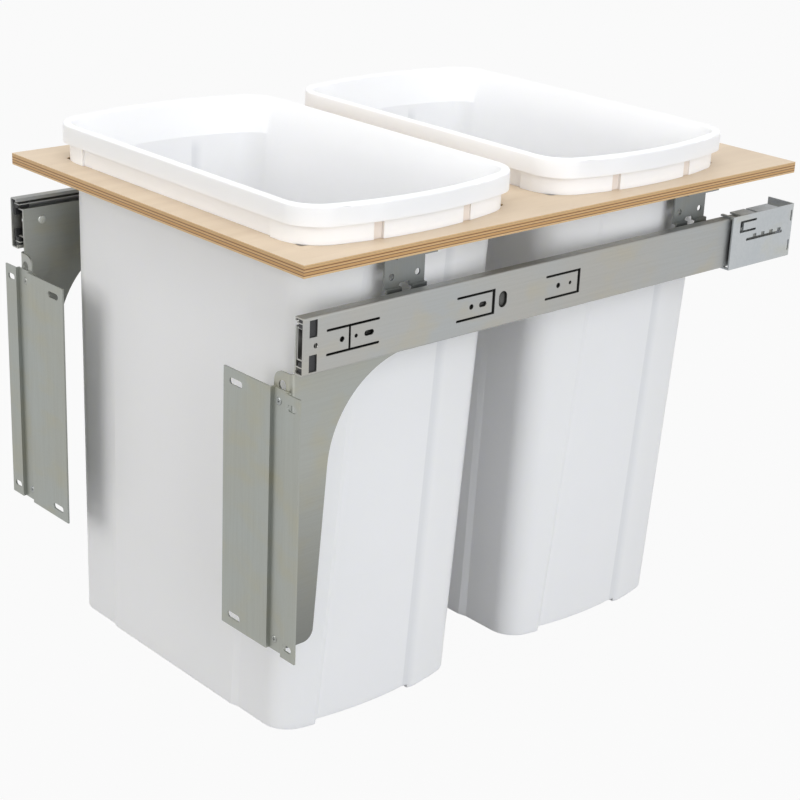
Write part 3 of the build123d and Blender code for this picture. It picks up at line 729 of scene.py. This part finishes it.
for end in ("front", "rear"):
    tub = soften(
        f"{end}_bin",
        f"{end}_tub",
        f"{end}_tub",
        tub_edge,
        sharp_angle=32,
        smooth_angle=11,
        evened=False,
    )
    dress(tub, tub_plastic[end])
    keep_only(tub)
    bpy.ops.object.mode_set(mode="EDIT")
    bpy.ops.mesh.select_mode(type="EDGE")
    bpy.ops.mesh.select_all(action="DESELECT")
    mesh = bmesh.from_edit_mesh(tub.data)
    for edge in mesh.edges:
        edge.select = on_panel_line(edge)
    print(tub.name, sum(edge.select for edge in mesh.edges), "panel edges")
    bmesh.update_edit_mesh(tub.data)
    bpy.ops.mesh.mark_sharp()
    bpy.ops.object.mode_set(mode="OBJECT")

board = soften("deck", "deck_board", "pull_out", deck_edge, smooth_angle=30)
dress(board, plywood)

# %% [markdown]
# The brackets, clips and sockets are stamped from sheet, so their edges only lose a tenth or two of a
# millimetre. Each is softened and keeps its own finish.

# %% Soften the stamped steel
sheet_edge = 0.00022
for side in ("right", "left"):
    for name, part_name, body, slot, finish in (
        ("side_bracket", "side_plate", "pull_out", "zinc_steel", plate_steel),
        ("door_bracket", "door_strip", "pull_out", "zinc_steel", bracket_steel),
        ("front_deck_clip", "front_clip", "pull_out", "zinc_steel", clip_steel),
        ("rear_deck_clip", "rear_clip", "pull_out", "zinc_steel", clip_steel),
        ("rear_socket", "back_socket", f"{side}_socket", "galvanised_steel", socket_steel),
        ("cabinet_member", "cabinet_rail", "cabinet_side", "zinc_steel", slide_steel),
    ):
        piece = soften(f"{side}_{name}", f"{side}_{part_name}", body, sheet_edge)
        dress(piece, finish)

# %% [markdown]
# The channels that slide inside each other, and the plastic pads at their front ends, are seen end on in
# the photograph. The pads were moulded with full round corners, so they get a much larger radius than the
# steel.

# %% Soften the inner slide members and the pads
pad_edge = 0.0009
stop_edge = 0.0006
for side in ("right", "left"):
    for name, part_name, body, slot, finish, width in (
        ("intermediate_member", "middle_rail", f"{side}_intermediate", "zinc_steel", web_steel, sheet_edge),
        ("drawer_member", "drawer_rail", "pull_out", "zinc_steel", slide_steel, sheet_edge),
        ("front_bumper", "front_pad", f"{side}_intermediate", "black_plastic", black_plastic, pad_edge),
        ("rear_stop", "rear_block", "cabinet_side", "black_plastic", black_plastic, stop_edge),
    ):
        piece = soften(
            f"{side}_{name}", f"{side}_{part_name}", body, width, segments=3, smooth_angle=40
        )
        dress(piece, finish)

# %% [markdown]
# The small fasteners are modelled anew, because rounding a measured cylinder gives neither a cross recess
# nor a rolled collar. A maker turns and presses them, and these helpers do the same to a primitive: pick
# faces by where they are and how they face, then draw them in and out.

# %% Helpers to select faces and draw them out
def select_faces(piece, wanted):
    """In edit mode, selects the faces for which a test on centre and normal is true."""
    mesh = bmesh.from_edit_mesh(piece.data)
    bpy.ops.mesh.select_all(action="DESELECT")
    for face in mesh.faces:
        face.select = wanted(face.calc_center_median(), face.normal)
    mesh.select_flush_mode()
    bmesh.update_edit_mesh(piece.data)


def start_piece(name):
    """Names the primitive that was just added and opens it for editing."""
    piece = bpy.context.object
    piece.name = name
    bpy.ops.object.mode_set(mode="EDIT")
    bpy.ops.mesh.select_mode(type="FACE")
    return piece


def draw_out(piece, level, from_radius, to_radius, length):
    """Draws the downward face at a level in to a smaller radius and pulls it down."""
    select_faces(piece, lambda centre, normal: normal.z < -0.9 and abs(centre.z - level) < 1e-6)
    if abs(from_radius - to_radius) > 1e-7:
        bpy.ops.mesh.extrude_region_move()
        bpy.ops.transform.resize(value=(to_radius / from_radius, to_radius / from_radius, 1))
    bpy.ops.mesh.extrude_region_move(TRANSFORM_OT_translate={"value": (0, 0, -length)})


# %% [markdown]
# A cross recess is pressed by a tapered punch. Its twin here is a bar whose lower face is drawn in,
# doubled and turned by a right angle, and a Boolean modifier cuts it out of the head.

# %% Helpers that cut a cross recess
punch_taper = (0.35, 0.7, 1)


def model_cross_cutter(reach, slot_width, depth, top):
    """Makes the tapered cross that cuts a recess."""
    bpy.ops.object.select_all(action="DESELECT")
    bpy.ops.mesh.primitive_cube_add(
        size=1, location=(0, 0, top - depth / 2), scale=(2 * reach, slot_width, depth)
    )
    cutter = start_piece("cross_cutter")
    select_faces(cutter, lambda centre, normal: normal.z < -0.9)
    bpy.ops.transform.resize(value=punch_taper)
    bpy.ops.mesh.select_all(action="SELECT")
    bpy.ops.mesh.duplicate_move()
    bpy.ops.transform.rotate(value=math.pi / 2, orient_axis="Z", center_override=(0, 0, 0))
    bpy.ops.object.mode_set(mode="OBJECT")
    return cutter


def cut_away(piece, cutter):
    """Cuts one piece with another and throws the cutter away."""
    cut = piece.modifiers.new("cut", "BOOLEAN")
    cut.operation = "DIFFERENCE"
    cut.object = cutter
    cut.use_self = True
    keep_only(piece)
    bpy.ops.object.modifier_apply(modifier="cut")
    bpy.data.objects.remove(cutter, do_unlink=True)


# %% [markdown]
# The screws are the same kind in two sizes: a low round head with a cross recess on a plain shank. A
# screw starts as a short cylinder for the head, its rim is rounded, and the face below is drawn in and
# pulled out to make the shank and its blunt tip. A thread would be out of sight in the wood and the nuts,
# so none is cut.

# %% Helper that models a screw
screw_rim_share = 0.62
screw_tip_share = 0.6


def model_screw(name, head_radius, head_height, shank_radius, shank_length):
    """Models a screw that stands on z = 0 with its head up and its shank down."""
    bpy.ops.object.select_all(action="DESELECT")
    bpy.ops.mesh.primitive_cylinder_add(
        vertices=32, radius=head_radius, depth=head_height, location=(0, 0, head_height / 2)
    )
    screw = start_piece(name)
    select_faces(screw, lambda centre, normal: normal.z > 0.9)
    bpy.ops.mesh.bevel(offset=screw_rim_share * head_height, segments=5, profile=0.5, affect="EDGES")
    draw_out(screw, 0, head_radius, shank_radius, shank_length - shank_radius / 2)
    tip = shank_radius / 2 - shank_length
    draw_out(screw, tip, shank_radius, shank_radius, shank_radius / 2)
    bpy.ops.transform.resize(value=(screw_tip_share, screw_tip_share, 1))
    bpy.ops.object.mode_set(mode="OBJECT")
    cutter = model_cross_cutter(
        reach=0.55 * head_radius,
        slot_width=0.2 * head_radius,
        depth=0.65 * head_height,
        top=1.02 * head_height,
    )
    cut_away(screw, cutter)
    keep_only(screw)
    bpy.ops.object.shade_smooth_by_angle(angle=math.radians(35))
    print(name, len(screw.data.polygons), "faces")
    return screw


# %% [markdown]
# One finished fastener is copied to every hole of its kind, each copy with a mesh of its own, and the
# copies of one kind are joined into one piece that stands for the measured group.

# %% Helper that sets copies of a fastener in its holes
def set_copies(model, turn, places, name, node_name, body, finish):
    """Copies a model to each place, joins the copies into one piece and removes the model."""
    bpy.ops.object.select_all(action="DESELECT")
    copies = []
    for place in places:
        copy = bpy.data.objects.new(name, model.data.copy())
        copy.data.transform(Matrix.Translation(place) @ turn)
        bpy.context.scene.collection.objects.link(copy)
        copy.select_set(True)
        copies.append(copy)
    bpy.context.view_layer.objects.active = copies[0]
    bpy.ops.object.join()
    piece = copies[0]
    piece.name = name
    dress(piece, finish)
    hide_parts(node_name)
    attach(piece, body)
    bpy.data.objects.remove(model, do_unlink=True)
    print(name, len(places), "copies")
    return piece


# %% [markdown]
# Four screws hold the door strips, their heads in the strips' channels and a nut behind each. Their
# places are read from the measured nodes' boxes: a head's edge lies on the box, so its centre is one
# radius inside.

# %% Set the door screws
door_head_radius = 0.0032
door_head_height = 0.0014
door_shank_radius = 0.002
screw_low, screw_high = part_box("door_bracket_screws")
door_seat = screw_low.y + door_head_height
door_places = [
    (side * (screw_high.x - door_head_radius), door_seat, height)
    for side in (-1, 1)
    for height in (screw_low.z + door_head_radius, screw_high.z - door_head_radius)
]
face_front = Matrix.Rotation(math.pi / 2, 4, "X")
shank_length = screw_high.y - door_seat
screw = model_screw("door_screw", door_head_radius, door_head_height, door_shank_radius, shank_length)
set_copies(
    screw,
    face_front,
    door_places,
    name="door_screws",
    node_name="door_bracket_screws",
    body="pull_out",
    finish=screw_steel,
)

# %% [markdown]
# Eight more screws come up through the clips into the plywood, two in each clip. They are seen only from
# below, and they are plated a little brighter than the door screws.

# %% Set the deck screws
deck_head_radius = 0.004
deck_head_height = 0.0024
deck_shank_radius = 0.002
deck_screw_spacing = 0.028
screw_low, screw_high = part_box("deck_screws")
deck_seat = screw_low.z + deck_head_height
first_row = screw_low.y + deck_head_radius
last_row = screw_high.y - deck_head_radius
deck_places = [
    (side * (screw_high.x - deck_head_radius), row, deck_seat)
    for side in (-1, 1)
    for row in (first_row, first_row + deck_screw_spacing, last_row - deck_screw_spacing, last_row)
]
face_down = Matrix.Rotation(math.pi, 4, "X")
shank_length = screw_high.z - deck_seat
screw = model_screw("deck_screw", deck_head_radius, deck_head_height, deck_shank_radius, shank_length)
set_copies(
    screw,
    face_down,
    deck_places,
    name="board_screws",
    node_name="deck_screws",
    body="pull_out",
    finish=fastener_steel,
)

# %% [markdown]
# A hexagon nut is a six-sided bar cut to length. Its corners are turned off at both ends, which shows as
# a small arc on each flat, and it has a bore that the screw fills.

# %% Set the nuts
nut_width = 0.007
nut_chamfer = 0.0005
bore_ease = 1.05
nut_low, nut_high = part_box("door_bracket_nuts")
nut_height = nut_high.y - nut_low.y
nut_corner = nut_width / 2 / math.cos(math.pi / 6)
nut_middle = (0, 0, -nut_height / 2)
bpy.ops.object.select_all(action="DESELECT")
bpy.ops.mesh.primitive_cylinder_add(vertices=6, radius=nut_corner, depth=nut_height, location=nut_middle)
nut = start_piece("door_nut")
select_faces(nut, lambda centre, normal: abs(normal.z) > 0.9)
bpy.ops.mesh.bevel(offset=nut_chamfer, segments=2, affect="EDGES")
bpy.ops.object.mode_set(mode="OBJECT")
bpy.ops.mesh.primitive_cylinder_add(
    vertices=24, radius=door_shank_radius * bore_ease, depth=2 * nut_height, location=nut_middle
)
cut_away(nut, bpy.context.object)
bpy.ops.object.shade_smooth_by_angle(angle=math.radians(25))
nut_places = [(place[0], nut_low.y, place[2]) for place in door_places]
set_copies(
    nut,
    face_front,
    nut_places,
    name="door_nuts",
    node_name="door_bracket_nuts",
    body="pull_out",
    finish=fastener_steel,
)

# %% [markdown]
# Tubular rivets hold the slides' inner channels and the clips to the side plates. The head is a low dome
# with a dimple in the middle, where the setting tool pressed, and the far end is rolled over into a
# smaller collar.

# %% Helper that models a rivet
rivet_radius = 0.004
rivet_height = 0.0016
rivet_shank = 0.002
rivet_tail = 0.0032
rivet_tail_height = 0.0012
dome_share = 0.6
dimple_share = 0.35
dimple_depth_share = 0.55
dimple_foot_share = 0.7
collar_share = 0.4


def model_rivet(name, grip):
    """Models a tubular rivet with its head on z = 0 and its collar below."""
    bpy.ops.object.select_all(action="DESELECT")
    bpy.ops.mesh.primitive_cylinder_add(
        vertices=32, radius=rivet_radius, depth=rivet_height, location=(0, 0, rivet_height / 2)
    )
    rivet = start_piece(name)
    select_faces(rivet, lambda centre, normal: normal.z > 0.9)
    bpy.ops.mesh.bevel(offset=dome_share * rivet_height, segments=4, affect="EDGES")
    select_faces(rivet, lambda centre, normal: normal.z > 0.99 and centre.z > 0.99 * rivet_height)
    bpy.ops.mesh.inset(thickness=dimple_share * rivet_radius)
    dimple_depth = dimple_depth_share * rivet_height
    bpy.ops.mesh.extrude_region_move(TRANSFORM_OT_translate={"value": (0, 0, -dimple_depth)})
    bpy.ops.transform.resize(value=(dimple_foot_share, dimple_foot_share, 1))
    draw_out(rivet, 0, rivet_radius, rivet_shank, grip)
    bpy.ops.mesh.extrude_region_move()
    bpy.ops.transform.resize(value=(rivet_tail / rivet_shank, rivet_tail / rivet_shank, 1))
    bpy.ops.mesh.extrude_region_move(TRANSFORM_OT_translate={"value": (0, 0, -rivet_tail_height)})
    bpy.ops.mesh.bevel(offset=collar_share * rivet_tail_height, segments=3, affect="EDGES")
    bpy.ops.object.mode_set(mode="OBJECT")
    bpy.ops.object.shade_smooth_by_angle(angle=math.radians(35))
    return rivet


# %% [markdown]
# On each side two rivets hold the channel and four hold the clips. Their heads face the middle of the
# frame, so the left side's are turned the other way, and the grip is what the box leaves between head and
# collar.

# %% Set the rivets
clip_rivet_spacing = 0.024
for side, way in (("right", 1), ("left", -1)):
    for node_name, piece_name, spacing in (
        ("bracket_rivets", "plate_rivets", None),
        ("clip_rivets", "clip_rivet_row", clip_rivet_spacing),
    ):
        rivet_low, rivet_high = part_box(f"{side}_{node_name}")
        depth = rivet_high.x - rivet_low.x
        seat = rivet_low.x + rivet_height if way > 0 else rivet_high.x - rivet_height
        rows = [rivet_low.y + rivet_radius, rivet_high.y - rivet_radius]
        if spacing:
            rows = [rows[0], rows[0] + spacing, rows[1] - spacing, rows[1]]
        height = (rivet_low.z + rivet_high.z) / 2
        face_middle = Matrix.Rotation(-way * math.pi / 2, 4, "Y")
        rivet = model_rivet("rivet", depth - rivet_height - rivet_tail_height)
        set_copies(
            rivet,
            face_middle,
            [(seat, row, height) for row in rows],
            name=f"{side}_{piece_name}",
            node_name=f"{side}_{node_name}",
            body="pull_out",
            finish=fastener_steel,
        )

# %% [markdown]
# The photograph has a plain white background, yet a floor and a world as bright as that would flood the
# object with light. Cycles can tell what kind of ray asks for a colour. So both are made of two shaders,
# a white one for the camera and for reflections and a weaker one that lights the object.

# %% Helpers for the background
def seen_directly(tree):
    """1 where a ray comes from the camera, from glossy metal or through glass, and 0 elsewhere."""
    path = tree.nodes.new("ShaderNodeLightPath")
    total = path.outputs["Is Camera Ray"]
    for ray in ("Is Glossy Ray", "Is Transmission Ray"):
        total = joined(tree, "ADD", total, path.outputs[ray])
        total.node.use_clamp = True
    return total


def show_blend(tree, share, first, second, output_kind):
    """Mixes two shaders and sends them to the tree's output."""
    both = tree.nodes.new("ShaderNodeMixShader")
    for place, socket in enumerate((share, first, second)):
        tree.links.new(socket, both.inputs[place])
    output = tree.nodes.new(output_kind)
    tree.links.new(both.outputs[0], output.inputs[0])


# %% [markdown]
# The floor is a pale plane just under the tubs' feet. To the camera it is mostly plain white, and the
# small share of ordinary shading that is left keeps the soft shadow of the tubs. Without a floor the tubs
# would seem to hang in the air.

# %% Floor
floor_size = 30
floor_gap = 0.0004
floor_grey = (0.13, 0.13, 0.13, 1)
plain_share = 0.95
bpy.ops.object.select_all(action="DESELECT")
bpy.ops.mesh.primitive_plane_add(size=floor_size, location=(0, 0, cad_low.z - floor_gap))
floor = bpy.context.object
floor.name = "floor"
floor_finish = bpy.data.materials.new("pale_floor")
floor_finish.use_nodes = True
tree = floor_finish.node_tree
tree.nodes.clear()
shaded = add_node(tree, "ShaderNodeBsdfDiffuse", Color=floor_grey)
plain = add_node(tree, "ShaderNodeEmission", Strength=1.0)
share = joined(tree, "MULTIPLY", seen_directly(tree), plain_share)
show_blend(tree, share, shaded, plain, "ShaderNodeOutputMaterial")
dress(floor, floor_finish)
print("floor at", round(floor.location.z, 4))

# %% [markdown]
# The world does the same as the floor. It is white to the camera and a little less so where metal mirrors
# it, which keeps the plating from looking like chrome, and it gives the object only a gentle light.

# %% World
gentle_light = (0.99, 0.99, 1.0, 1)
gentle_strength = 0.52
mirrored_strength = 0.8
world = bpy.data.worlds.new("studio")
bpy.context.scene.world = world
world.use_nodes = True
tree = world.node_tree
tree.nodes.clear()
gentle = add_node(tree, "ShaderNodeBackground", Color=gentle_light, Strength=gentle_strength)
in_picture = add_node(tree, "ShaderNodeLightPath", output="Is Camera Ray")
strength = ranged(tree, in_picture, 0, 1, mirrored_strength, 1.0)
white = add_node(tree, "ShaderNodeBackground", Color=(1, 1, 1, 1), Strength=strength)
show_blend(tree, seen_directly(tree), gentle, white, "ShaderNodeOutputWorld")
print("world", world.name)

# %% [markdown]
# The photograph seems to be lit from all round with large soft boxes. One stands high on the right, and a
# low one beside it reaches under the deck, where high lamps leave the tubs black. The front box is the
# strongest and a little warm, and the back box is kept out of reflections, since its glare would bleach
# the lacquered deck.

# %% Lamps
def add_softbox(name, place, target, size, power, colour=(1, 1, 1)):
    """Adds a square area lamp that looks at a target."""
    bpy.ops.object.light_add(type="AREA", location=place)
    lamp = bpy.context.object
    lamp.name = name
    lamp.data.size = size
    lamp.data.energy = power
    lamp.data.color = colour
    lamp.rotation_euler = (Vector(target) - Vector(place)).to_track_quat("-Z", "Y").to_euler()
    print(name, "power", power)
    return lamp


daylight = (0.94, 0.965, 1.0)
warm_light = (1.0, 0.995, 0.98)
middle = (cad_low + cad_high) / 2
add_softbox("key_softbox", (2.9, 0.0, 1.5), middle, size=2.2, power=32, colour=daylight)
add_softbox("low_softbox", (3.0, -0.2, 0.1), middle, size=1.8, power=34, colour=daylight)
back_lamp = add_softbox("back_softbox", (-1.6, 3.0, 1.4), middle, size=2.2, power=24)
back_lamp.visible_glossy = False
add_softbox("top_softbox", (0.2, -0.2, 2.6), middle, size=2.4, power=33)
add_softbox("front_softbox", (-0.9, -3.0, 1.0), middle, size=2.0, power=42, colour=warm_light)
bpy.context.scene.view_settings.view_transform = "Standard"
